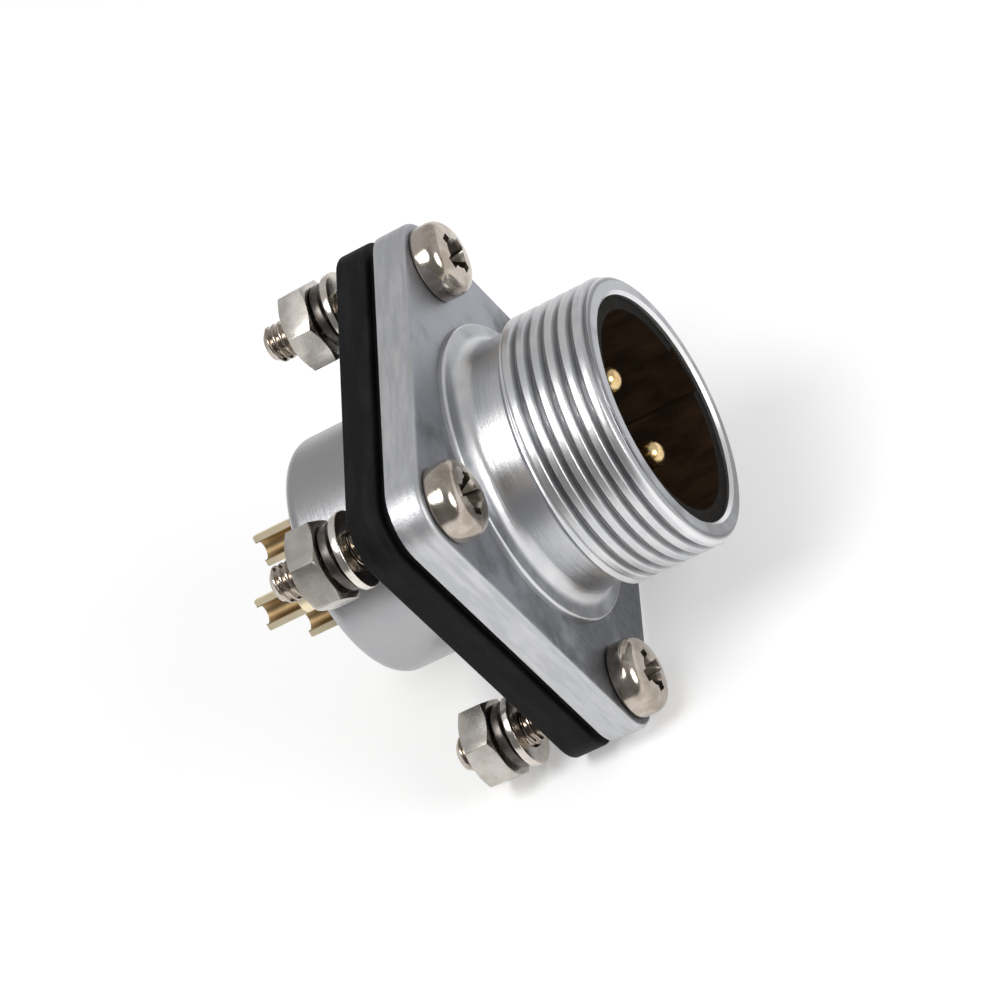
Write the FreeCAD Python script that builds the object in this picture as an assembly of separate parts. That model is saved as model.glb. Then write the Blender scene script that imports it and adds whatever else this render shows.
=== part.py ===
import FreeCAD, Part
import math
import os

# Panel receptacle of a circular threaded connector, with a square flange.
# The connector's axis is Y: the open mouth faces -Y and the solder cups point to +Y.
# The origin is on that axis, in the plane of the flange's rear face. Sizes are in millimetres.

# Square flange
flange_side = 26.0
flange_thickness = 2.3
flange_corner_radius = 3.0
flange_edge_round = 0.35
screw_inset = 3.0

# Front barrel, from the flange to the mouth
barrel_length = 10.0
thread_diameter = 18.0
thread_length = 6.2
thread_runout = 0.35
neck_diameter = 16.9
neck_root_radius = 1.1
boss_diameter = 20.0
boss_height = 0.45
boss_edge_round = 0.22
rim_chamfer = 0.5
mouth_bore_diameter = 15.2
mouth_lead = 0.2

# Rear barrel, which passes through the panel
rear_barrel_diameter = 16.0
rear_barrel_length = 10.8
rear_edge_round = 1.0
rear_bore_diameter = 13.6
rear_bore_lead = 0.3

# Web inside the shell, on which both insulators seat
web_bore_diameter = 12.4
web_thickness = 2.5
web_rear_place = 0.5

# Insulators
insulator_clearance = 0.05
skirt_recess = 0.4
skirt_wall = 0.85
socket_floor_place = 5.2
socket_floor_round = 0.3
keyway_width = 3.1
keyway_depth = 0.5
keyway_angle = -30.0
seal_thickness = 0.8
seal_margin = 0.1
rear_insulator_length = 7.2
tower_diameter = 3.8
tower_height = 0.8

# Snap ring behind the rear insulator
ring_thickness = 0.7
ring_section = 1.2
ring_groove_depth = 0.5
ring_groove_clearance = 0.03
ring_gap = 5.0

# Contacts
contact_count = 3
contact_circle_radius = 3.1
contact_first_angle = 30.0
contact_clearance = 0.04
pin_diameter = 1.8
pin_tip_round = 0.8
pin_recess = 2.2
collar_diameter = 2.8
collar_thickness = 1.2
cup_diameter = 2.2
cup_bore_diameter = 1.3
cup_bore_depth = 4.6
cup_scoop_length = 3.0
cup_scoop_share = 0.38
cup_edge_round = 0.12
cup_reach = 16.7
cup_open_angle = 145.0

# Gasket behind the flange, with a narrower land against the metal
gasket_thickness = 2.8
gasket_land = 0.6
gasket_land_inset = 0.7
gasket_bore_clearance = 0.05

# Screws
screw_diameter = 2.5
screw_length = 12.0
screw_hole_clearance = 0.1
screw_end_chamfer = 0.3
head_diameter = 5.0
head_height = 2.1
head_crown = 0.3
head_top_round = 0.9
head_foot_round = 0.2
recess_length = 3.2
recess_width = 0.85
recess_depth = 1.25
recess_taper = 0.6

# Nuts and washers, run on loosely, with a different space for the panel at each screw
nut_across_flats = 5.0
nut_thickness = 2.0
nut_chamfer_angle = 30.0
thread_clearance = 0.02
flat_washer_diameter = 5.0
flat_washer_thickness = 0.5
washer_clearance = 0.1
spring_washer_wire = 0.6
spring_washer_width = 0.85
spring_washer_rise = 0.5
spring_washer_gap = 16.0
panel_space_top = 1.05
panel_space_near = 1.1
panel_space_low = 2.1
panel_space_far = 1.0
nut_turn_top = 142.0
nut_turn_near = 128.0
nut_turn_low = 131.0
nut_turn_far = 100.0

# Place of the screws across the flange
screw_place = flange_side / 2 - screw_inset

# Places along the axis that several pieces share
flange_front = -flange_thickness
mouth_place = flange_front - barrel_length
boss_front = flange_front - boss_height
thread_foot = mouth_place + thread_length
web_rear = web_rear_place
web_front = web_rear - web_thickness
seal_front = web_front - seal_thickness
skirt_front = mouth_place + skirt_recess
socket_floor = -socket_floor_place
rear_insulator_end = web_rear + rear_insulator_length
gasket_rear = gasket_thickness
head_seat = flange_front
screw_end = head_seat + screw_length

# Radii that several pieces share
thread_radius = thread_diameter / 2
neck_radius = neck_diameter / 2
mouth_bore_radius = mouth_bore_diameter / 2
rear_barrel_radius = rear_barrel_diameter / 2
rear_bore_radius = rear_bore_diameter / 2
web_bore_radius = web_bore_diameter / 2
skirt_radius = mouth_bore_radius - insulator_clearance
socket_radius = skirt_radius - skirt_wall
spigot_radius = web_bore_radius - insulator_clearance
rear_insulator_radius = rear_bore_radius - insulator_clearance
groove_radius = rear_bore_radius + ring_groove_depth
ring_radius = groove_radius - insulator_clearance
pin_radius = pin_diameter / 2
collar_radius = collar_diameter / 2
cup_radius = cup_diameter / 2
cup_bore_radius = cup_bore_diameter / 2
screw_radius = screw_diameter / 2
screw_hole_radius = screw_radius + screw_hole_clearance
head_radius = head_diameter / 2
washer_bore_radius = screw_radius + washer_clearance

AXIS = FreeCAD.Vector(0, 1, 0)
ORIGIN = FreeCAD.Vector(0, 0, 0)


def rounded(before, corner, after, radius):
    """Tangent points and middle of the arc that rounds a profile's corner."""
    back = (before - corner).normalize()
    ahead = (after - corner).normalize()
    half = back.getAngle(ahead) / 2
    reach = radius / math.tan(half)
    middle = (back + ahead).normalize()
    centre = corner + middle * (radius / math.sin(half))
    return corner + back * reach, centre - middle * radius, corner + ahead * reach


def turned(*corners):
    """Solid turned about the Y axis from corners given as radius, place and an optional round."""
    points = [FreeCAD.Vector(corner[0], corner[1], 0) for corner in corners]
    rounds = [corner[2] if len(corner) > 2 else 0 for corner in corners]
    edges = []
    first = None
    last = None
    for i, point in enumerate(points):
        if rounds[i]:
            after = points[(i + 1) % len(points)]
            start, middle, end = rounded(points[i - 1], point, after, rounds[i])
        else:
            start, middle, end = point, None, point
        if last is not None:
            edges.append(Part.makeLine(last, start))
        if middle is not None:
            edges.append(Part.Arc(start, middle, end).toShape())
        if first is None:
            first = start
        last = end
    edges.append(Part.makeLine(last, first))
    face = Part.Face(Part.Wire(edges))
    return face.revolve(ORIGIN, AXIS, 360)


def rod(radius, start, end, x=0, z=0):
    """Plain cylinder along Y between two places."""
    return Part.makeCylinder(radius, end - start, FreeCAD.Vector(x, start, z), AXIS)


def on_circle(radius, angle):
    """X and Z of a point on a circle about the axis, with the angle from +X towards +Z."""
    turn = math.radians(angle)
    return radius * math.cos(turn), radius * math.sin(turn)


def turn_about(shape, angle, x=0, z=0):
    """Turn a shape about a line along Y, from +X towards +Z."""
    shape.rotate(FreeCAD.Vector(x, 0, z), AXIS, -angle)
    return shape


def square_plate(side, corner, start, end):
    """Square plate with round corners, square to Y between two places."""
    half = side / 2
    inner = half - corner
    edges = []
    for quarter in range(4):
        arc_start = FreeCAD.Vector(half, start, inner)
        arc_middle = FreeCAD.Vector(inner + corner * math.sqrt(0.5), start, inner + corner * math.sqrt(0.5))
        arc_end = FreeCAD.Vector(inner, start, half)
        next_start = FreeCAD.Vector(-inner, start, half)
        for edge in (Part.Arc(arc_start, arc_middle, arc_end).toShape(), Part.makeLine(arc_end, next_start)):
            edges.append(turn_about(edge, 90 * quarter))
    face = Part.Face(Part.Wire(Part.sortEdges(edges)[0]))
    return face.extrude(FreeCAD.Vector(0, end - start, 0))


def edges_at(shape, place):
    """Edges of a shape that lie wholly in one plane square to Y."""
    return [edge for edge in shape.Edges if all(abs(vertex.Y - place) < 1e-6 for vertex in edge.Vertexes)]


def screw_places():
    """The four screws in turn from the +X +Z corner: X, Z, space for the panel and turn of the nut."""
    yield screw_place, screw_place, panel_space_top, nut_turn_top
    yield -screw_place, screw_place, panel_space_near, nut_turn_near
    yield -screw_place, -screw_place, panel_space_low, nut_turn_low
    yield screw_place, -screw_place, panel_space_far, nut_turn_far


def contact_places():
    """X and Z of each contact."""
    for i in range(contact_count):
        yield on_circle(contact_circle_radius, contact_first_angle + i * 360 / contact_count)


def make_shell():
    """Die-cast shell: flange, threaded front barrel and rear barrel in one piece."""
    plate = square_plate(flange_side, flange_corner_radius, flange_front, 0)
    plate = plate.makeFillet(flange_edge_round, edges_at(plate, flange_front))
    inside = flange_front / 2
    barrels = turned(
        (0, mouth_place),
        (thread_radius - rim_chamfer, mouth_place),
        (thread_radius, mouth_place + rim_chamfer),
        (thread_radius, thread_foot),
        (neck_radius, thread_foot + thread_runout),
        (neck_radius, boss_front, neck_root_radius),
        (boss_diameter / 2, boss_front, boss_edge_round),
        (boss_diameter / 2, inside),
        (rear_barrel_radius, inside),
        (rear_barrel_radius, rear_barrel_length, rear_edge_round),
        (0, rear_barrel_length),
    )
    groove_rear = rear_insulator_end + ring_thickness + ring_groove_clearance
    hollow = turned(
        (0, mouth_place),
        (mouth_bore_radius + mouth_lead, mouth_place),
        (mouth_bore_radius, mouth_place + mouth_lead),
        (mouth_bore_radius, web_front),
        (web_bore_radius, web_front),
        (web_bore_radius, web_rear),
        (rear_bore_radius, web_rear),
        (rear_bore_radius, rear_insulator_end),
        (groove_radius, rear_insulator_end),
        (groove_radius, groove_rear),
        (rear_bore_radius, groove_rear),
        (rear_bore_radius, rear_barrel_length - rear_bore_lead),
        (rear_bore_radius + rear_bore_lead, rear_barrel_length),
        (0, rear_barrel_length),
    )
    shell = plate.fuse(barrels).cut(hollow)
    for x, z, _, _ in screw_places():
        shell = shell.cut(rod(screw_hole_radius, flange_front, 0, x, z))
    return shell.removeSplitter()


def make_insulator_front():
    """Moulded insulator with a skirt round the pins and a keyway in the skirt."""
    body = turned(
        (0, skirt_front),
        (skirt_radius, skirt_front),
        (skirt_radius, seal_front),
        (spigot_radius, seal_front),
        (spigot_radius, web_rear),
        (0, web_rear),
    )
    socket = turned(
        (0, skirt_front),
        (socket_radius, skirt_front),
        (socket_radius, socket_floor, socket_floor_round),
        (0, socket_floor),
    )
    length = socket_floor - skirt_front
    corner = FreeCAD.Vector(0, skirt_front, -keyway_width / 2)
    keyway = Part.makeBox(socket_radius + keyway_depth, length, keyway_width, corner)
    body = body.cut(socket).cut(turn_about(keyway, keyway_angle))
    for x, z in contact_places():
        body = body.cut(rod(pin_radius + contact_clearance, socket_floor, web_rear, x, z))
    return body


def make_insert_seal():
    """Flat rubber ring between the front insulator and the web."""
    ring = rod(mouth_bore_radius - seal_margin, seal_front, web_front)
    return ring.cut(rod(spigot_radius + seal_margin, seal_front, web_front))


def make_insulator_rear():
    """Rear insulator, which traps the contacts' collars against the front one."""
    body = rod(rear_insulator_radius, web_rear, rear_insulator_end)
    for x, z in contact_places():
        tower = rod(tower_diameter / 2, rear_insulator_end, rear_insulator_end + tower_height, x, z)
        body = body.fuse(tower)
    for x, z in contact_places():
        collar_end = web_rear + collar_thickness + contact_clearance
        body = body.cut(rod(collar_radius + contact_clearance, web_rear, collar_end, x, z))
        hole_end = rear_insulator_end + tower_height
        body = body.cut(rod(cup_radius + contact_clearance, web_rear, hole_end, x, z))
    return body


def make_retaining_ring():
    """Open snap ring in the groove behind the rear insulator."""
    start = rear_insulator_end
    end = start + ring_thickness
    ring = rod(ring_radius, start, end).cut(rod(ring_radius - ring_section, start, end))
    corner = FreeCAD.Vector(-ring_gap / 2, start, 0)
    return ring.cut(Part.makeBox(ring_gap, ring_thickness, ring_radius, corner))


def make_contact(x, z):
    """Turned contact: domed pin, collar, shank and a scooped solder cup."""
    contact = turned(
        (0, mouth_place + pin_recess),
        (pin_radius, mouth_place + pin_recess, pin_tip_round),
        (pin_radius, web_rear),
        (collar_radius, web_rear),
        (collar_radius, web_rear + collar_thickness),
        (cup_radius, web_rear + collar_thickness),
        (cup_radius, cup_reach, cup_edge_round),
        (0, cup_reach),
    )
    contact = contact.cut(rod(cup_bore_radius, cup_reach - cup_bore_depth, cup_reach))
    floor = cup_radius * (1 - 2 * cup_scoop_share)
    corner = FreeCAD.Vector(floor, cup_reach - cup_scoop_length, -cup_radius)
    scoop = Part.makeBox(cup_diameter, cup_scoop_length, cup_diameter, corner)
    contact = contact.cut(turn_about(scoop, cup_open_angle))
    contact.translate(FreeCAD.Vector(x, 0, z))
    return contact


def make_gasket():
    """Moulded rubber gasket between the flange and the panel."""
    land_side = flange_side - 2 * gasket_land_inset
    land_corner = flange_corner_radius - gasket_land_inset
    gasket = square_plate(flange_side, flange_corner_radius, gasket_land, gasket_thickness)
    gasket = gasket.fuse(square_plate(land_side, land_corner, 0, gasket_land))
    gasket = gasket.cut(rod(rear_barrel_radius + gasket_bore_clearance, 0, gasket_thickness))
    for x, z, _, _ in screw_places():
        gasket = gasket.cut(rod(screw_hole_radius, 0, gasket_thickness, x, z))
    return gasket.removeSplitter()


def make_screw(x, z):
    """Cross-recessed pan-head screw, with its thread as the plain outer diameter."""
    head_top = head_seat - head_height
    screw = turned(
        (0, head_top),
        (head_radius, head_top + head_crown, head_top_round),
        (head_radius, head_seat, head_foot_round),
        (screw_radius, head_seat),
        (screw_radius, screw_end - screw_end_chamfer),
        (screw_radius - screw_end_chamfer, screw_end),
        (0, screw_end),
    )
    for angle in (0, 90):
        screw = screw.cut(turn_about(recess_slot(head_top), angle))
    screw.translate(FreeCAD.Vector(x, 0, z))
    return screw


def recess_slot(head_top):
    """One tapered slot of the cross recess, along X."""
    half = recess_length / 2
    foot = half - recess_taper * recess_depth
    outline = Part.makePolygon([
        FreeCAD.Vector(-half, head_top, -recess_width / 2),
        FreeCAD.Vector(half, head_top, -recess_width / 2),
        FreeCAD.Vector(foot, head_top + recess_depth, -recess_width / 2),
        FreeCAD.Vector(-foot, head_top + recess_depth, -recess_width / 2),
        FreeCAD.Vector(-half, head_top, -recess_width / 2),
    ])
    return Part.Face(outline).extrude(FreeCAD.Vector(0, 0, recess_width))


def make_flat_washer(x, z, space):
    """Flat washer, next to the panel's space."""
    start = gasket_rear + space
    end = start + flat_washer_thickness
    radius = flat_washer_diameter / 2
    washer = turned(
        (washer_bore_radius, start),
        (radius, start),
        (radius, end),
        (washer_bore_radius, end),
    )
    washer.translate(FreeCAD.Vector(x, 0, z))
    return washer


def make_spring_washer(x, z, space):
    """Split spring washer: a square wire that climbs a little in one turn."""
    start = gasket_rear + space + flat_washer_thickness
    turn = (360 - spring_washer_gap) / 360
    middle = washer_bore_radius + spring_washer_width / 2
    path = Part.makeHelix(spring_washer_rise / turn, spring_washer_rise, middle)
    half_width = spring_washer_width / 2
    outline = Part.makePolygon([
        FreeCAD.Vector(middle - half_width, 0, 0),
        FreeCAD.Vector(middle + half_width, 0, 0),
        FreeCAD.Vector(middle + half_width, 0, spring_washer_wire),
        FreeCAD.Vector(middle - half_width, 0, spring_washer_wire),
        FreeCAD.Vector(middle - half_width, 0, 0),
    ])
    washer = Part.Wire(path.Edges).makePipeShell([outline], True, True)
    washer.rotate(ORIGIN, FreeCAD.Vector(1, 0, 0), -90)
    washer.translate(FreeCAD.Vector(x, start, z))
    return washer


def make_nut(x, z, space, turn):
    """Hexagon nut, chamfered on both faces."""
    start = gasket_rear + space + flat_washer_thickness + spring_washer_wire + spring_washer_rise
    end = start + nut_thickness
    flat = nut_across_flats / 2
    corner = flat / math.cos(math.radians(30))
    wide = 2 * corner - flat
    slope = (wide - flat) * math.tan(math.radians(nut_chamfer_angle))
    points = []
    for i in range(7):
        px, pz = on_circle(corner, turn + 60 * i)
        points.append(FreeCAD.Vector(px, start, pz))
    prism = Part.Face(Part.makePolygon(points)).extrude(FreeCAD.Vector(0, nut_thickness, 0))
    envelope = turned(
        (screw_radius + thread_clearance, start),
        (flat, start),
        (wide, start + slope),
        (wide, end - slope),
        (flat, end),
        (screw_radius + thread_clearance, end),
    )
    nut = prism.common(envelope)
    nut.translate(FreeCAD.Vector(x, 0, z))
    return nut


def build():
    """Every piece of the connector under its node's name."""
    pieces = {
        "shell": make_shell(),
        "insulator_front": make_insulator_front(),
        "insert_seal": make_insert_seal(),
        "insulator_rear": make_insulator_rear(),
        "retaining_ring": make_retaining_ring(),
        "gasket": make_gasket(),
    }
    for i, (x, z) in enumerate(contact_places(), 1):
        pieces[f"contact_{i}"] = make_contact(x, z)
    for i, (x, z, space, turn) in enumerate(screw_places(), 1):
        pieces[f"screw_{i}"] = make_screw(x, z)
        pieces[f"flat_washer_{i}"] = make_flat_washer(x, z, space)
        pieces[f"spring_washer_{i}"] = make_spring_washer(x, z, space)
        pieces[f"nut_{i}"] = make_nut(x, z, space, turn)
    return pieces


os.makedirs("parts", exist_ok=True)
for name, shape in build().items():
    shape.exportStep(f"parts/{name}.step")
    print(name, len(shape.Solids), "solid", round(shape.Volume, 2), "mm3", shape.isValid())
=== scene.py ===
import math

import bmesh
import bpy
from mathutils import Matrix, Vector


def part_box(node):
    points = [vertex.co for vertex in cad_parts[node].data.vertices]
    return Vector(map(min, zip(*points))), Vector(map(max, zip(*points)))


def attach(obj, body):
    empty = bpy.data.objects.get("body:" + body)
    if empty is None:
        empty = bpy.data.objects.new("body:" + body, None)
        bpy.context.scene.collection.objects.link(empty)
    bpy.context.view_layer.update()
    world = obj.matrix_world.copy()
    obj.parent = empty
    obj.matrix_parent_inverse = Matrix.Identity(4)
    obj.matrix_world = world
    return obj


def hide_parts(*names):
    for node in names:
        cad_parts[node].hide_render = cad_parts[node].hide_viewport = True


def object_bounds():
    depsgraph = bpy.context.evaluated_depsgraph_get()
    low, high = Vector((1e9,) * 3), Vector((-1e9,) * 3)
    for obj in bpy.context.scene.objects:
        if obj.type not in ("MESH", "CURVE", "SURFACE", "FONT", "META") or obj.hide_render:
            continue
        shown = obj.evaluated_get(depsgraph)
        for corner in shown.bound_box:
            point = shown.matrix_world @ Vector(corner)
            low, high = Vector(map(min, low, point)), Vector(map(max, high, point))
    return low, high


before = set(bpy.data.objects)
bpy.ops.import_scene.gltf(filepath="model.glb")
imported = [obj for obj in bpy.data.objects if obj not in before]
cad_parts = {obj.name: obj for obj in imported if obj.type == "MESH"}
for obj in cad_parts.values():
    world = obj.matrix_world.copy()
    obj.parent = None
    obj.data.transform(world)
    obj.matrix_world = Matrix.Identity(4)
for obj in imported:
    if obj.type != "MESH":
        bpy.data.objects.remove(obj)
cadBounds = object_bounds()
mm = 0.001
print("frame loaded with", len(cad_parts), "pieces")


# The camera looks down on the near flange corner, rolled so that the barrel points up to the right.
# Its three directions are in the part's own axes, and its distances are in millimetres.
cameraSet = {
    "right": Vector((-0.0524, -0.8336, -0.5499)),
    "up": Vector((0.738, -0.4033, 0.5411)),
    "toward": Vector((-0.6728, -0.3775, 0.6363)),
    "distance": 285.0,
    "aside": 0.148,
    "above": -0.705,
    "lens": 166.3,
    "sensor": 36.0,
    "clip": (0.01, 20.0),   # in metres
}


def placeCamera(s):
    data = bpy.data.cameras.new("photoCamera")
    data.lens = s["lens"]
    data.sensor_width = s["sensor"]
    data.clip_start, data.clip_end = s["clip"]
    camera = bpy.data.objects.new("photoCamera", data)
    bpy.context.collection.objects.link(camera)
    axes = Matrix((s["right"], s["up"], s["toward"])).transposed()
    turn = axes.to_quaternion().normalized()
    place = s["toward"] * s["distance"] + s["right"] * s["aside"] + s["up"] * s["above"]
    camera.matrix_world = Matrix.Translation(place * mm) @ turn.to_matrix().to_4x4()
    bpy.context.scene.camera = camera


placeCamera(cameraSet)
print("camera placed")


# Mesh tools. Profiles are pairs of radius and place along Y, in millimetres.
def softened(corners, steps=6):
    # A corner with a third number is rounded by that radius.
    rows = []
    for i, corner in enumerate(corners):
        point = Vector(corner[:2])
        if len(corner) < 3:
            rows.append(point)
            continue
        back = (Vector(corners[i - 1][:2]) - point).normalized()
        ahead = (Vector(corners[(i + 1) % len(corners)][:2]) - point).normalized()
        half = back.angle(ahead) / 2
        centre = point + (back + ahead).normalized() * (corner[2] / math.sin(half))
        start = point + back * (corner[2] / math.tan(half)) - centre
        end = point + ahead * (corner[2] / math.tan(half)) - centre
        sweep = start.angle(end)
        for step in range(steps + 1):
            share = step / steps
            bend = start * math.sin((1 - share) * sweep) + end * math.sin(share * sweep)
            rows.append(centre + bend / math.sin(sweep))
    return rows


def ringAt(mesh, radius, place, segments, dent=None):
    if radius == 0:
        return [mesh.verts.new((0, place * mm, 0))]
    ring = []
    for i in range(segments):
        angle = 2 * math.pi * i / segments
        size = (radius - (dent(place, angle) if dent else 0)) * mm
        spot = (size * math.cos(angle), place * mm, size * math.sin(angle))
        ring.append(mesh.verts.new(spot))
    return ring


def bridge(mesh, first, second):
    # Either ring may be a single point.
    count = max(len(first), len(second))
    for i in range(count):
        j = (i + 1) % count
        corners = [first[i % len(first)], first[j % len(first)],
                   second[j % len(second)], second[i % len(second)]]
        face = list(dict.fromkeys(corners))
        if len(face) > 2:
            mesh.faces.new(face)


def turned(mesh, rows, segments, closed=False, dent=None):
    rings = [ringAt(mesh, radius, place, segments, dent) for radius, place in rows]
    for first, second in zip(rings, rings[1:]):
        bridge(mesh, first, second)
    if closed:
        bridge(mesh, rings[-1], rings[0])
    return rings


def piece(name, mesh, crease=32):
    bmesh.ops.recalc_face_normals(mesh, faces=mesh.faces)
    data = bpy.data.meshes.new(name)
    mesh.to_mesh(data)
    mesh.free()
    data.polygons.foreach_set("use_smooth", [True] * len(data.polygons))
    data.set_sharp_from_angle(angle=math.radians(crease))
    made = bpy.data.objects.new(name, data)
    bpy.context.collection.objects.link(made)
    return made


def aboutAxis(mesh, verts, degrees):
    turn = Matrix.Rotation(math.radians(degrees), 3, "Y")
    bmesh.ops.rotate(mesh, verts=verts, matrix=turn)


def squareRing(mesh, side, corner, place, tuck, steps=10):
    ring = []
    half = side / 2 - corner
    reach = corner - tuck
    for quarter in range(4):
        middle = math.pi / 2 * (quarter + 0.5)
        for step in range(steps + 1):
            angle = math.pi / 2 * (quarter + step / steps)
            x = math.copysign(half, math.cos(middle)) + reach * math.cos(angle)
            z = math.copysign(half, math.sin(middle)) + reach * math.sin(angle)
            ring.append(mesh.verts.new((x * mm, place * mm, z * mm)))
    return ring


def ringEdges(mesh, ring):
    return [mesh.edges.get((ring[i - 1], ring[i])) for i in range(len(ring))]


def plate(mesh, side, corner, outline, holes, segments=48):
    # Outline rows are pairs of tuck and place. Each hole has X, Z and rows of radius and place.
    rings = [squareRing(mesh, side, corner, place, tuck) for tuck, place in outline]
    for first, second in zip(rings, rings[1:]):
        bridge(mesh, first, second)
    starts = [rings[0]]
    ends = [rings[-1]]
    for x, z, rows in holes:
        wall = turned(mesh, rows, segments)
        for ring in wall:
            for vert in ring:
                vert.co += Vector((x, 0, z)) * mm
        starts.append(wall[0])
        ends.append(wall[-1])
    for group in (starts, ends):
        edges = []
        for ring in group:
            edges += ringEdges(mesh, ring)
        bmesh.ops.triangle_fill(mesh, edges=edges, use_beauty=True, use_dissolve=False)


def grooveDepth(place, angle, pitch, depth, crest, offset):
    # Depth of a right-hand groove with a narrow flat crest, rounded edges and a rounded root.
    turn = (place / pitch + angle / (2 * math.pi) + offset) % 1.0
    slope = max(0.0, 1 - abs(2 * turn - 1) - crest) / (1 - crest)
    return depth * slope * slope * (3 - 2 * slope)


def applied(made):
    graph = bpy.context.evaluated_depsgraph_get()
    data = bpy.data.meshes.new_from_object(made.evaluated_get(graph))
    old = made.data
    made.modifiers.clear()
    made.data = data
    bpy.data.meshes.remove(old)
    return made


def cutAway(made, cutter, operation="DIFFERENCE"):
    modifier = made.modifiers.new("cut", "BOOLEAN")
    modifier.operation = operation
    modifier.solver = "EXACT"
    modifier.use_self = True
    modifier.object = cutter
    applied(made)
    bpy.data.objects.remove(cutter)


def bevelled(made, width, limit):
    modifier = made.modifiers.new("edge", "BEVEL")
    modifier.width = width * mm
    modifier.segments = 3
    modifier.limit_method = "ANGLE"
    modifier.angle_limit = math.radians(limit)
    return applied(made)


def placed(made, name, x, y, z, node):
    mesh = bmesh.new()
    mesh.from_mesh(made.data)
    bmesh.ops.translate(mesh, verts=mesh.verts, vec=Vector((x, y, z)) * mm)
    bpy.data.objects.remove(made)
    copy = piece(name, mesh)
    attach(copy, "root")
    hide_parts(node)
    return copy


def frontOf(node):
    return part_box(node)[0][1] / mm


# Shell: flange, threaded barrel and rear barrel, one piece of plated metal.
shellLow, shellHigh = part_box("shell")
shellSet = {
    "side": (shellHigh[0] - shellLow[0]) / mm,
    "mouth": shellLow[1] / mm,
    "rearEnd": shellHigh[1] / mm,
    "flangeFront": -2.3,
    "cornerRadius": 3.0,
    "edgeRound": 0.35,
    "rearEdge": 0.06,
    "holeInset": 3.0,
    "holeRadius": 1.35,
    "hiddenBore": 7.8,      # the barrels cover it on both sides
    "threadRadius": 9.0,
    "threadFoot": -6.1,
    "threadPitch": 1.0,
    "threadDepth": 0.43,
    "threadCrest": 0.36,    # share of the pitch
    "threadFade": 0.5,      # length of the run-out at its foot
    "threadOffset": 0.25,   # turns
    "rowsPerPitch": 32,
    "reliefStart": 0.04,
    "reliefEnd": 0.4,
    "reliefRound": 0.15,
    "neckRadius": 8.45,
    "neckRound": 1.1,
    "bossRadius": 10.0,
    "bossHeight": 0.45,
    "bossRound": 0.22,
    "lipRound": 0.75,
    "lipRows": 36,
    "mouthBore": 7.6,
    "mouthLead": 0.2,
    "webFront": -2.0,
    "webRear": 0.5,
    "webBore": 6.2,
    "rearRadius": 8.0,
    "rearRound": 1.0,
    "rearBore": 6.8,
    "rearLead": 0.3,
    "segments": 256,
    "bendSteps": 10,
}
holePlace = shellSet["side"] / 2 - shellSet["holeInset"]
screwCorners = [(holePlace, holePlace), (-holePlace, holePlace),
                (-holePlace, -holePlace), (holePlace, -holePlace)]


def makeShell(s):
    mesh = bmesh.new()
    front = s["flangeFront"]
    boss = front - s["bossHeight"]
    start = s["mouth"]
    end = s["threadFoot"]
    lip = s["lipRound"]
    places = []
    for i in range(s["lipRows"]):
        places.append(start + lip * (1 - math.cos(math.pi / 2 * i / s["lipRows"])))
    flight = end - start - lip
    count = round(flight / s["threadPitch"] * s["rowsPerPitch"])
    for i in range(count + 1):
        places.append(start + lip + flight * i / count)

    def dent(place, angle):
        # The groove runs out through the rounded lip and fades into the relief at its foot.
        groove = grooveDepth(place, angle, s["threadPitch"], s["threadDepth"],
                             s["threadCrest"], s["threadOffset"])
        reach = max(0.0, 1 - (place - start) / lip)
        rounded = lip * (1 - math.sqrt(max(0.0, 1 - reach * reach)))
        return max(groove * min(1.0, (end - place) / s["threadFade"]), rounded)

    body = softened([
        (s["threadRadius"], end + s["reliefStart"]),
        (s["neckRadius"], end + s["reliefEnd"], s["reliefRound"]),
        (s["neckRadius"], boss, s["neckRound"]),
        (s["bossRadius"], boss, s["bossRound"]),
        (s["bossRadius"], front / 2),
        (s["rearRadius"], front / 2),
        (s["rearRadius"], s["rearEnd"], s["rearRound"]),
        (s["rearBore"] + s["rearLead"], s["rearEnd"]),
        (s["rearBore"], s["rearEnd"] - s["rearLead"]),
        (s["rearBore"], s["webRear"]),
        (s["webBore"], s["webRear"]),
        (s["webBore"], s["webFront"]),
        (s["mouthBore"], s["webFront"]),
        (s["mouthBore"], start + s["mouthLead"]),
        (s["mouthBore"] + s["mouthLead"], start),
    ], s["bendSteps"])
    rows = [(s["threadRadius"], place) for place in places]
    thread = turned(mesh, rows, s["segments"], dent=dent)
    barrels = turned(mesh, body, s["segments"])
    bridge(mesh, thread[-1], barrels[0])
    bridge(mesh, barrels[-1], thread[0])
    outline = softened([
        (s["edgeRound"] * 2, front),
        (0, front, s["edgeRound"]),
        (0, -s["rearEdge"]),
        (s["rearEdge"], 0),
    ])
    holes = [(0, 0, [(s["hiddenBore"], front), (s["hiddenBore"], 0)])]
    for x, z in screwCorners:
        holes.append((x, z, [(s["holeRadius"], front), (s["holeRadius"], 0)]))
    plate(mesh, s["side"], s["cornerRadius"], outline, holes)
    return piece("shellBody", mesh)


shellBody = makeShell(shellSet)
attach(shellBody, "root")
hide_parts("shell")
print("shell made")


# Gasket: moulded rubber, with a narrower land against the flange.
gasketSet = {
    "thickness": (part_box("gasket")[1][1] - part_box("gasket")[0][1]) / mm,
    "land": 0.6,
    "landTuck": 0.7,
    "landRound": 0.1,
    "edgeRound": 0.16,
    "bore": 8.05,
    "bendSteps": 4,
}


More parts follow.
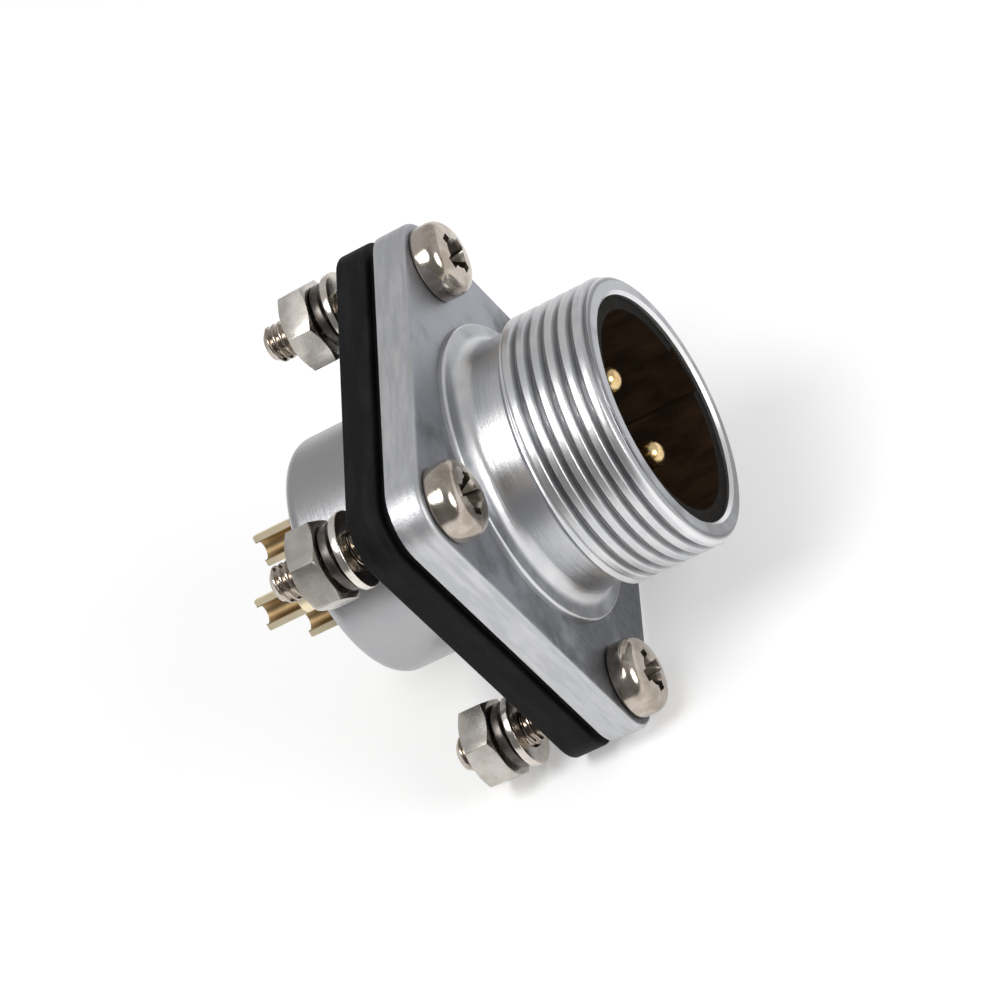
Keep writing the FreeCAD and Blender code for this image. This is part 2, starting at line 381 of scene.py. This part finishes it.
def makeGasket(s, shell):
    mesh = bmesh.new()
    thick = s["thickness"]
    outline = softened([
        (s["landTuck"], 0),
        (s["landTuck"], s["land"], s["landRound"]),
        (0, s["land"], s["edgeRound"]),
        (0, thick, s["edgeRound"]),
        (s["edgeRound"] * 2, thick),
    ], s["bendSteps"])
    holes = [(0, 0, [(s["bore"], 0), (s["bore"], thick)])]
    for x, z in screwCorners:
        holes.append((x, z, [(shell["holeRadius"], 0), (shell["holeRadius"], thick)]))
    plate(mesh, shell["side"], shell["cornerRadius"], outline, holes)
    return piece("gasketSlab", mesh)


gasketSlab = makeGasket(gasketSet, shellSet)
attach(gasketSlab, "root")
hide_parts("gasket")
print("gasket made")


# Pan-head screws with a cross recess and a threaded shank.
screwSet = {
    "headTop": frontOf("screw_1"),
    "end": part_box("screw_1")[1][1] / mm,
    "seat": -2.3,
    "headRadius": 2.5,
    "crown": 0.3,
    "topRound": 0.9,
    "footRound": 0.2,
    "headSegments": 96,
    "headSteps": 8,
    "recessHalf": 1.6,
    "recessWidth": 0.85,
    "recessDepth": 1.25,
    "recessTaper": 0.47,    # share of their length that the wings lose on the way down
    "recessNarrow": 0.72,   # share of their width that they keep
    "recessOver": 0.3,      # how far the cutter stands out of the head
    "coneTop": 1.3,
    "coneFoot": 0.35,
    "coneTip": 0.1,
    "coneSegments": 24,
    "recessTurns": (20, 62, 38, 75),
    "edgeRound": 0.07,
    "edgeAngle": 40,
    "shankRadius": 1.25,
    "pitch": 0.45,
    "threadDepth": 0.2,
    "threadCrest": 0.15,
    "rowsPerPitch": 9,
    "shankSegments": 40,
    "endChamfer": 0.3,
}


def recessCutter(s):
    mesh = bmesh.new()
    depth = s["recessDepth"] + s["recessOver"]
    top = s["headTop"] - s["recessOver"]
    foot = top + depth
    for turn in (0, 90):
        wing = bmesh.ops.create_cube(mesh, size=1)["verts"]
        for vert in wing:
            low = vert.co.y > 0
            half = s["recessHalf"] * (1 - s["recessTaper"] if low else 1)
            wide = s["recessWidth"] / 2 * (s["recessNarrow"] if low else 1)
            x = math.copysign(half, vert.co.x)
            z = math.copysign(wide, vert.co.z)
            vert.co = Vector((x, foot if low else top, z)) * mm
        aboutAxis(mesh, wing, turn)
    cone = [(0, top), (s["coneTop"], top), (s["coneFoot"], foot), (0, foot + s["coneTip"])]
    turned(mesh, cone, s["coneSegments"])
    return piece("recessCutter", mesh)


def makeScrewHead(s):
    mesh = bmesh.new()
    rows = softened([
        (0, s["headTop"]),
        (s["headRadius"], s["headTop"] + s["crown"], s["topRound"]),
        (s["headRadius"], s["seat"], s["footRound"]),
        (0, s["seat"]),
    ], s["headSteps"])
    turned(mesh, rows, s["headSegments"])
    head = piece("screwHead", mesh)
    cutAway(head, recessCutter(s))
    return bevelled(head, s["edgeRound"], s["edgeAngle"])


def makeShank(s):
    mesh = bmesh.new()
    radius = s["shankRadius"]
    end = s["end"] - s["endChamfer"]
    length = end - s["seat"]
    count = round(length / s["pitch"] * s["rowsPerPitch"])
    rows = [(radius, s["seat"] + length * i / count) for i in range(count + 1)]
    rows += [(radius - s["endChamfer"], s["end"]), (0, s["end"])]

    def dent(place, angle):
        if place > end:
            return 0.0
        return grooveDepth(place, angle, s["pitch"], s["threadDepth"], s["threadCrest"], 0.0)

    turned(mesh, rows, s["shankSegments"], dent=dent)
    return piece("screwShank", mesh)


def makeScrews(s):
    made = []
    head = makeScrewHead(s)
    shank = makeShank(s)
    for i, (x, z) in enumerate(screwCorners):
        mesh = bmesh.new()
        mesh.from_mesh(head.data)
        aboutAxis(mesh, mesh.verts, s["recessTurns"][i])
        mesh.from_mesh(shank.data)
        bmesh.ops.translate(mesh, verts=mesh.verts, vec=Vector((x, 0, z)) * mm)
        screw = piece(f"panScrew{i + 1}", mesh)
        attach(screw, "root")
        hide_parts(f"screw_{i + 1}")
        made.append(screw)
    for spare in (head, shank):
        bpy.data.objects.remove(spare)
    return made


screws = makeScrews(screwSet)
print("screws made")


# Hexagon nuts, chamfered on both faces and a little worn at the corners.
nutSet = {
    "flat": 2.5,            # half the width across the flats
    "thickness": 2.0,
    "chamferAngle": 30,
    "boreRadius": 1.27,
    "countersink": 0.2,
    "blankOver": 0.3,       # the blank is longer than its envelope
    "segments": 96,
    "edgeRound": 0.09,
    "edgeAngle": 18,
    "turns": (142, 128, 131, 100),
}


def makeNut(s, turn):
    flat = s["flat"]
    thick = s["thickness"]
    corner = flat / math.cos(math.radians(30))
    wide = 2 * corner - flat
    slope = (wide - flat) * math.tan(math.radians(s["chamferAngle"]))
    low = -s["blankOver"]
    high = thick + s["blankOver"]
    mesh = bmesh.new()
    turned(mesh, [(0, low), (corner, low), (corner, high), (0, high)], 6)
    aboutAxis(mesh, mesh.verts, -turn)
    nut = piece("nutBlank", mesh)
    mesh = bmesh.new()
    bore = s["boreRadius"]
    sink = s["countersink"]
    rows = [(bore + sink, 0), (flat, 0), (wide, slope), (wide, thick - slope), (flat, thick),
            (bore + sink, thick), (bore, thick - sink), (bore, sink)]
    turned(mesh, rows, s["segments"], closed=True)
    cutAway(nut, piece("nutEnvelope", mesh), "INTERSECT")
    return bevelled(nut, s["edgeRound"], s["edgeAngle"])


def makeNuts(s):
    made = []
    for i, (x, z) in enumerate(screwCorners):
        node = f"nut_{i + 1}"
        name = f"hexNut{i + 1}"
        nut = makeNut(s, s["turns"][i])
        made.append(placed(nut, name, x, frontOf(node), z, node))
    return made


nuts = makeNuts(nutSet)
print("nuts made")


# Flat washers, rounded on the stamped side, and split spring washers.
washerSet = {
    "boreRadius": 1.35,
    "flatRadius": 2.5,
    "flatThickness": 0.5,
    "stampedRound": 0.14,
    "edgeRound": 0.04,
    "flatSegments": 96,
    "flatSteps": 5,
    "springWire": 0.6,
    "springWidth": 0.85,
    "springRise": 0.5,
    "springGap": 16,        # degrees
    "springRound": 0.08,
    "springSegments": 90,
    "springSteps": 3,
}


def makeFlatWasher(s):
    mesh = bmesh.new()
    rows = softened([
        (s["boreRadius"], 0, s["stampedRound"] / 2),
        (s["flatRadius"], 0, s["stampedRound"]),
        (s["flatRadius"], s["flatThickness"], s["edgeRound"]),
        (s["boreRadius"], s["flatThickness"], s["edgeRound"]),
    ], s["flatSteps"])
    turned(mesh, rows, s["flatSegments"], closed=True)
    return piece("flatWasher", mesh)


def makeSpringWasher(s):
    mesh = bmesh.new()
    outer = s["boreRadius"] + s["springWidth"]
    section = softened([
        (s["boreRadius"], 0, s["springRound"]),
        (outer, 0, s["springRound"]),
        (outer, s["springWire"], s["springRound"]),
        (s["boreRadius"], s["springWire"], s["springRound"]),
    ], s["springSteps"])
    rings = []
    for step in range(s["springSegments"] + 1):
        share = step / s["springSegments"]
        angle = math.radians(360 - s["springGap"]) * share
        rise = s["springRise"] * share
        ring = []
        for radius, place in section:
            spot = Vector((radius * math.cos(angle), place + rise, -radius * math.sin(angle)))
            ring.append(mesh.verts.new(spot * mm))
        rings.append(ring)
    for first, second in zip(rings, rings[1:]):
        bridge(mesh, first, second)
    mesh.faces.new(rings[0])
    mesh.faces.new(rings[-1])
    return piece("springWasher", mesh)


def makeWashers(s):
    plain = []
    split = []
    for i, (x, z) in enumerate(screwCorners):
        node = f"flat_washer_{i + 1}"
        name = f"plainWasher{i + 1}"
        plain.append(placed(makeFlatWasher(s), name, x, frontOf(node), z, node))
        node = f"spring_washer_{i + 1}"
        name = f"splitWasher{i + 1}"
        split.append(placed(makeSpringWasher(s), name, x, frontOf(node), z, node))
    return plain, split


flatWashers, springWashers = makeWashers(washerSet)
print("washers made")


# Shader tools. A Wire stands for one socket, and sums on wires add Math nodes.
class Wire:
    def __init__(self, graph, socket):
        self.graph = graph
        self.socket = socket

    def maths(self, operation, first, second):
        return self.graph.node("ShaderNodeMath", {"operation": operation}, {0: first, 1: second})

    def __add__(self, other):
        return self.maths("ADD", self, other)

    def __sub__(self, other):
        return self.maths("SUBTRACT", self, other)

    def __rsub__(self, other):
        return self.maths("SUBTRACT", other, self)

    def __mul__(self, other):
        return self.maths("MULTIPLY", self, other)

    __radd__ = __add__
    __rmul__ = __mul__


class Graph:
    def __init__(self, tree):
        self.tree = tree

    def node(self, kind, settings, inputs, output=0):
        made = self.tree.nodes.new(kind)
        for key, value in settings.items():
            setattr(made, key, value)
        for key, value in inputs.items():
            self.feed(made.inputs[key], value)
        return Wire(self, made.outputs[output])

    def feed(self, socket, value):
        if isinstance(value, Wire):
            self.tree.links.new(value.socket, socket)
        else:
            socket.default_value = value

    def vector(self, operation, inputs, output=0):
        return self.node("ShaderNodeVectorMath", {"operation": operation}, inputs, output)

    def axis(self, vector, name):
        return self.node("ShaderNodeSeparateXYZ", {}, {0: vector}, name)

    def ramp(self, value, low, high, first=0.0, second=1.0):
        # a smooth step from first to second while the value goes from low to high
        return self.node("ShaderNodeMapRange", {"interpolation_type": "SMOOTHSTEP"},
                         {"Value": value, "From Min": low, "From Max": high,
                          "To Min": first, "To Max": second})

    def colours(self, share, first, second):
        first = first if isinstance(first, Wire) else (*first, 1)
        second = second if isinstance(second, Wire) else (*second, 1)
        return self.node("ShaderNodeMix", {"data_type": "RGBA"}, {0: share, 6: first, 7: second}, 2)


class Finish(Graph):
    def __init__(self, name, metallic, specular=0.5):
        self.material = bpy.data.materials.new(name)
        self.material.use_nodes = True
        super().__init__(self.material.node_tree)
        self.tree.nodes.clear()
        self.shader = self.tree.nodes.new("ShaderNodeBsdfPrincipled")
        self.set("Metallic", metallic)
        self.set("Specular IOR Level", specular)
        output = self.tree.nodes.new("ShaderNodeOutputMaterial")
        self.tree.links.new(self.shader.outputs[0], output.inputs[0])

    def set(self, name, value):
        self.feed(self.shader.inputs[name], value)

    def place(self, stretch=(1, 1, 1)):
        # the part's own coordinates in millimetres
        spot = self.node("ShaderNodeTexCoord", {}, {}, "Object")
        return self.vector("MULTIPLY", {0: spot, 1: tuple(part / mm for part in stretch)})

    def along(self, name="Y"):
        return self.axis(self.place(), name)

    def facing(self):
        # 1 where the surface looks out of the mouth, -1 where it looks to the rear
        return 0 - self.axis(self.node("ShaderNodeTexCoord", {}, {}, "Normal"), "Y")

    def away(self, x, z):
        # distance from a line along Y
        offset = self.vector("SUBTRACT", {0: self.place((1, 0, 1)), 1: (x, 0, z)})
        return self.vector("LENGTH", {0: offset}, "Value")

    def nearest(self, centres):
        least = self.away(*centres[0])
        for x, z in centres[1:]:
            least = least.maths("MINIMUM", least, self.away(x, z))
        return least

    def noise(self, scale, detail=3.0, rough=0.55, stretch=(1, 1, 1)):
        return self.node("ShaderNodeTexNoise", {},
                         {"Vector": self.place(stretch), "Scale": scale,
                          "Detail": detail, "Roughness": rough})

    def bump(self, height, depth):
        values = {"Height": height, "Distance": depth * mm, "Strength": 1.0}
        self.set("Normal", self.node("ShaderNodeBump", {}, values))


def beside(base, pair):
    # Places given from a base.
    return [base + part for part in pair]


def level(pair, wire):
    # The first of a pair, and the second times what the wire says.
    return pair[0] + pair[1] * wire


def dress(made, material):
    made.data.materials.clear()
    made.data.materials.append(material)


# Finishes. A noise is scale, detail, roughness and stretch. Places and reliefs are in millimetres.
# Satin plating: turned barrels, a duller cast flange and a polished mouth, with painted shade on
# the rear barrel and in the thread roots, and a painted dark reflection on the faces that look out
# of the mouth, darker towards the bottom.
platingSet = {
    "bright": ((0.62, 0.625, 0.64), (0.72, 0.72, 0.725)),
    "cloud": (0.35, 2),
    "cloudRange": (0.35, 0.65),
    "cast": (0.47, 0.475, 0.49),
    "castFront": (-0.16, -0.02),    # from the flange's front face
    "castRear": (0.0, 0.1),
    "castShare": (0.4, 0.45),       # least share, and what the streaks add
    "streaks": (1.0, 3, 0.6, (0.35, 3, 0.35)),
    "streaksRange": (0.36, 0.64),
    # painted shade: a darker tone on the rear barrel, for the shade behind the flange
    "rear": (0.36, 0.36, 0.37),
    "rearPlace": (0.0, 0.3),
    "rearShare": 0.85,
    "lip": (0.86, 0.86, 0.87),
    "lipPlace": (0.55, 0.35),       # from the mouth
    "lipShare": 0.8,
    # painted dark reflection on the faces that look out of the mouth, in two tones mixed by random
    # patches and darker towards the bottom
    "faceShade": ((0.31, 0.32, 0.35), (0.09, 0.095, 0.105)),
    "faceShadeTurn": (0.75, 0.98),       # how straight its faces look out of the mouth
    "faceShadeShare": (0.8, 0.12),       # on the barrels, and what the flange adds
    "faceShadeLower": 0.016,             # painted shade: how much darker it gets with each millimetre down
    "faceShadeSpread": (0.6, 0.7),         # least share of the darker tone, and what the blotches add
    "patch": (0.28, 3, 0.6),
    "patchRange": (0.34, 0.66),
    # painted shade: a dark tone down in the thread roots
    "root": (0.1, 0.1, 0.105),
    "rootBelow": (-0.42, -0.16),    # from the crest's radius
    "rootAbove": (0.01, 0.05),      # from the neck's radius
    "rootFoot": (-0.3, 0.0),        # from the thread's foot
    "rootShadeShare": 0.65,
    "grain": (7, 4, 0.65),
    "turning": (1.0, 3, 0.6, (0.22, 9, 0.22)),
    "blotch": (1.6, 4, 0.6),
    "roughness": (0.22, 0.12),      # least roughness, and what the grain adds
    "turningRougher": 0.1,
    "castRougher": 0.12,
    "grainDepth": (0.4, 0.5),       # on the barrels, and what the flange adds
    "turningDepth": (0.7, -0.7),
    "blotchDepth": (0.4, 0.6),
    "relief": 0.02,
}


def shellPlating(s, shell):
    f = Finish("shellPlating", 1.0)
    cloud = f.noise(*s["cloud"])
    streaks = f.noise(*s["streaks"])
    patch = f.noise(*s["patch"])
    grain = f.noise(*s["grain"])
    turning = f.noise(*s["turning"])
    blotch = f.noise(*s["blotch"])
    along = f.along()
    radius = f.away(0, 0)
    cast = f.ramp(along, *beside(shell["flangeFront"], s["castFront"]))
    cast = cast * f.ramp(along, *s["castRear"], 1, 0)
    rear = f.ramp(along, *s["rearPlace"])
    lip = f.ramp(along, *beside(shell["mouth"], s["lipPlace"]))
    face = f.ramp(f.facing(), *s["faceShadeTurn"])
    # painted shade in the thread roots
    root = f.ramp(radius, *beside(shell["threadRadius"], s["rootBelow"]), 1, 0)
    root = root * f.ramp(radius, *beside(shell["neckRadius"], s["rootAbove"]))
    root = root * f.ramp(along, *beside(shell["threadFoot"], s["rootFoot"]), 1, 0)
    tone = f.colours(f.ramp(cloud, *s["cloudRange"]), *s["bright"])
    streaked = level(s["castShare"], f.ramp(streaks, *s["streaksRange"]))
    tone = f.colours(cast * streaked, tone, s["cast"])
    # painted shade on the rear barrel behind the flange
    tone = f.colours(rear * s["rearShare"], tone, s["rear"])
    tone = f.colours(lip * s["lipShare"], tone, s["lip"])
    # painted dark reflection and shade on the faces that look out of the mouth, darker towards the
    # bottom
    faceShadeBlend = f.ramp(patch - s["faceShadeLower"] * f.along("Z"), *s["patchRange"])
    faceShade = f.colours(faceShadeBlend * level(s["faceShadeSpread"], blotch), *s["faceShade"])
    tone = f.colours(face * level(s["faceShadeShare"], cast), tone, faceShade)
    f.set("Base Color", f.colours(root * s["rootShadeShare"], tone, s["root"]))
    rough = level(s["roughness"], grain) + s["turningRougher"] * turning + s["castRougher"] * cast
    f.set("Roughness", rough)
    marks = grain * level(s["grainDepth"], cast) + turning * level(s["turningDepth"], cast)
    f.bump(marks + blotch * level(s["blotchDepth"], cast), s["relief"])
    return f.material


# Matt black rubber.
rubberSet = {
    "tones": ((0.005, 0.005, 0.006), (0.012, 0.0115, 0.013)),
    "smear": (0.5, 3, 0.6, (0.5, 2.5, 0.5)),
    "smearRange": (0.4, 0.75),
    "smearDepth": 0.6,
    "grain": (9, 4, 0.65),
    "specular": 0.12,
    "roughness": (0.5, 0.2),        # least roughness, and what the grain adds
    "relief": 0.03,
}


def gasketRubber(s):
    f = Finish("gasketRubber", 0.0, s["specular"])
    grain = f.noise(*s["grain"])
    smear = f.noise(*s["smear"])
    f.set("Base Color", f.colours(f.ramp(smear, *s["smearRange"]), *s["tones"]))
    f.set("Roughness", level(s["roughness"], grain))
    f.bump(grain + smear * s["smearDepth"], s["relief"])
    return f.material


# Brown moulding with pale flecks of filler. The skirt's front edge is rougher, and painted darker
# as shade.
phenolicSet = {
    "tones": ((0.02, 0.011, 0.006), (0.045, 0.026, 0.014)),
    "flow": (0.8, 4, 0.6, (1, 0.35, 1)),
    "flowRange": (0.35, 0.7),
    "flowDepth": 0.6,
    "fleck": (0.09, 0.055, 0.03),
    "fleckShare": 0.5,
    "filler": (14, 3, 0.7),
    "fillerRange": (0.62, 0.75),
    "fillerDepth": 0.4,
    # painted shade: a darker tone on the skirt's front edge
    "edge": (0.006, 0.005, 0.004),
    "skirtShadePlace": (-11.84, -11.88),
    "skirtShadeTurn": (0.8, 0.95),
    "edgeRougher": 0.2,
    "specular": 0.1,
    "roughness": (0.42, 0.25),      # least roughness, and what the flow adds
    "relief": 0.02,
}


def mouldedPhenolic(s):
    f = Finish("mouldedPhenolic", 0.0, s["specular"])
    flow = f.noise(*s["flow"])
    filler = f.noise(*s["filler"])
    tone = f.colours(f.ramp(flow, *s["flowRange"]), *s["tones"])
    tone = f.colours(f.ramp(filler, *s["fillerRange"]) * s["fleckShare"], tone, s["fleck"])
    # painted shade on the skirt's front edge, which is also rougher
    edge = f.ramp(f.along(), *s["skirtShadePlace"]) * f.ramp(f.facing(), *s["skirtShadeTurn"])
    f.set("Base Color", f.colours(edge, tone, s["edge"]))
    f.set("Roughness", level(s["roughness"], flow) + s["edgeRougher"] * edge)
    f.bump(flow * s["flowDepth"] + filler * s["fillerDepth"], s["relief"])
    return f.material


# Bright nickel, and the dark steel of the springs.
nickelSet = {
    "cloud": (0.9,),
    "cloudRange": (0.35, 0.68),
    "relief": 0.006,
    "screwNickel": {
        "tones": ((0.54, 0.48, 0.42), (0.37, 0.32, 0.265)),
        "marks": (4,),
        "roughness": (0.12, 0.1),   # least roughness, and what the marks add
    },
    "nutNickel": {
        "tones": ((0.6, 0.57, 0.53), (0.49, 0.46, 0.42)),
        "marks": (1.2,),
        "roughness": (0.22, 0.1),
    },
    "washerNickel": {
        "tones": ((0.78, 0.74, 0.69), (0.62, 0.56, 0.5)),
        "marks": (4,),
        "roughness": (0.16, 0.1),
    },
    "springSteel": {
        "tones": ((0.16, 0.145, 0.13), (0.08, 0.07, 0.065)),
        "marks": (4,),
        "roughness": (0.3, 0.1),
    },
}
# Painted shade down in the cross recess: a darker tone there, and a rougher plating.
recessShadeSet = {
    "tone": (0.07, 0.058, 0.045),
    "share": 0.85,
    "rougher": 0.25,
    "radius": (1.5, 1.65),
    "top": (0.2, 0.45),             # from the head's top
    "foot": (0.0, 0.1),             # from the head's seat
}


def nickelPlate(s, name, screw=None, recess=None):
    own = s[name]
    f = Finish(name, 1.0)
    marks = f.noise(*own["marks"])
    tone = f.colours(f.ramp(f.noise(*s["cloud"]), *s["cloudRange"]), *own["tones"])
    rough = level(own["roughness"], marks)
    if recess:
        along = f.along()
        # painted shade in the cross recess, which is also rougher
        recessShade = f.ramp(f.nearest(screwCorners), *recess["radius"], 1, 0)
        recessShade = recessShade * f.ramp(along, *beside(screw["headTop"], recess["top"]))
        recessShade = recessShade * f.ramp(along, *beside(screw["seat"], recess["foot"]), 1, 0)
        tone = f.colours(recessShade * recess["share"], tone, recess["tone"])
        rough = rough + recess["rougher"] * recessShade
    f.set("Base Color", tone)
    f.set("Roughness", rough)
    f.bump(marks, s["relief"])
    return f.material


# Thin gold, paler on the solder cups, and brown inside them from flux stain and painted shade.
goldSet = {
    "tones": ((0.86, 0.66, 0.36), (0.66, 0.44, 0.18)),
    "cloud": (1.4,),
    "cloudRange": (0.35, 0.7),
    "marks": (3, 3, 0.6, (0.4, 5, 0.4)),
    "cup": (0.98, 0.88, 0.66),
    "cupShare": 0.85,
    "cupPlace": (8.0, 12.0),
    "cupRougher": 0.24,
    # flux stain and painted shade inside the cups
    "bore": (0.3, 0.18, 0.06),
    "boreStainShadeShare": 0.85,
    "boreRadius": (0.67, 0.74),
    "borePlace": (9.0, 10.0),
    "roughness": (0.16, 0.18),      # least roughness, and what the marks add
    "relief": 0.01,
}


def contactCentres():
    centres = []
    for name in ("contact_1", "contact_2", "contact_3"):
        low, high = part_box(name)
        centres.append(((low[0] + high[0]) / 2 / mm, (low[2] + high[2]) / 2 / mm))
    return centres


def contactGold(s):
    f = Finish("contactGold", 1.0)
    marks = f.noise(*s["marks"])
    along = f.along()
    cup = f.ramp(along, *s["cupPlace"])
    # brown inside the cups: flux stain, and painted shade
    bore = f.ramp(f.nearest(contactCentres()), *s["boreRadius"], 1, 0)
    bore = bore * f.ramp(along, *s["borePlace"])
    gold = f.colours(f.ramp(f.noise(*s["cloud"]), *s["cloudRange"]), *s["tones"])
    gold = f.colours(cup * s["cupShare"], gold, s["cup"])
    f.set("Base Color", f.colours(bore * s["boreStainShadeShare"], gold, s["bore"]))
    f.set("Roughness", level(s["roughness"], marks) + s["cupRougher"] * cup)
    f.bump(marks, s["relief"])
    return f.material


def finishAll():
    rubber = gasketRubber(rubberSet)
    phenolic = mouldedPhenolic(phenolicSet)
    gold = contactGold(goldSet)
    springSteel = nickelPlate(nickelSet, "springSteel")
    groups = (
        ([shellBody], shellPlating(platingSet, shellSet)),
        ([gasketSlab], rubber),
        (screws, nickelPlate(nickelSet, "screwNickel", screwSet, recessShadeSet)),
        (nuts, nickelPlate(nickelSet, "nutNickel")),
        (flatWashers, nickelPlate(nickelSet, "washerNickel")),
        (springWashers, springSteel),
    )
    for group, material in groups:
        for made in group:
            dress(made, material)
    # the nodes that keep their own solids
    starts = {
        "insulator": phenolic,
        "insert_seal": rubber,
        "contact": gold,
        "retaining_ring": springSteel,
    }
    for name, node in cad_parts.items():
        for start, material in starts.items():
            if name.startswith(start):
                dress(node, material)


finishAll()
print("finishes made")


# Studio, in metres: pale floor, two soft lamps and a surround that is paler on the right.
studioSet = {
    "floorDrop": 0.02,      # in millimetres, under the part
    "floorSize": 3.0,
    "floorTone": 0.8,
    "floorRoughness": 0.9,
    "floorSpecular": 0.1,
    "floorGlow": 0.32,
    "surroundLeft": 0.2,
    "surroundRight": 0.56,
    "surroundTurn": (-0.6, 0.35),
}
lampSet = {
    "overhead": {"toward": (-0.27, 0.22, 0.92), "distance": 0.42, "size": 0.22, "power": 0.85},
    "front": {"toward": (-0.34, -0.84, 0.42), "distance": 0.5, "size": 0.28, "power": 1.0},
}


def makeFloor(s):
    mesh = bmesh.new()
    half = s["floorSize"] / 2
    drop = cadBounds[0][2] - s["floorDrop"] * mm
    corners = ((-half, -half), (half, -half), (half, half), (-half, half))
    mesh.faces.new([mesh.verts.new((x, y, drop)) for x, y in corners])
    floor = piece("studioFloor", mesh)
    f = Finish("paleFloor", 0.0, s["floorSpecular"])
    f.set("Roughness", s["floorRoughness"])
    f.set("Base Color", (s["floorTone"],) * 3 + (1,))
    # the floor shows as white to the camera and in the metal, and lights nothing
    seen = f.node("ShaderNodeLightPath", {}, {}, "Is Camera Ray")
    seen = seen + f.node("ShaderNodeLightPath", {}, {}, "Is Glossy Ray")
    f.set("Emission Color", f.colours(seen, (0, 0, 0), (1, 1, 1)))
    f.set("Emission Strength", s["floorGlow"])
    dress(floor, f.material)


def makeSurround(s):
    world = bpy.data.worlds.new("paleSurround")
    world.use_nodes = True
    graph = Graph(world.node_tree)
    across = graph.axis(graph.node("ShaderNodeTexCoord", {}, {}, "Generated"), "X")
    share = graph.ramp(across, *s["surroundTurn"])
    tone = graph.colours(share, (s["surroundLeft"],) * 3, (s["surroundRight"],) * 3)
    graph.feed(world.node_tree.nodes["Background"].inputs["Color"], tone)
    bpy.context.scene.world = world


def makeLamp(name, s):
    data = bpy.data.lights.new(name, "AREA")
    data.shape = "DISK"
    data.size = s["size"]
    data.energy = s["power"]
    lamp = bpy.data.objects.new(name, data)
    bpy.context.collection.objects.link(lamp)
    toward = Vector(s["toward"]).normalized()
    lamp.location = toward * s["distance"]
    lamp.rotation_euler = toward.to_track_quat("Z", "Y").to_euler()


makeFloor(studioSet)
makeSurround(studioSet)
for name, values in lampSet.items():
    makeLamp(name, values)
bpy.context.scene.view_settings.view_transform = "Standard"
print("studio made")
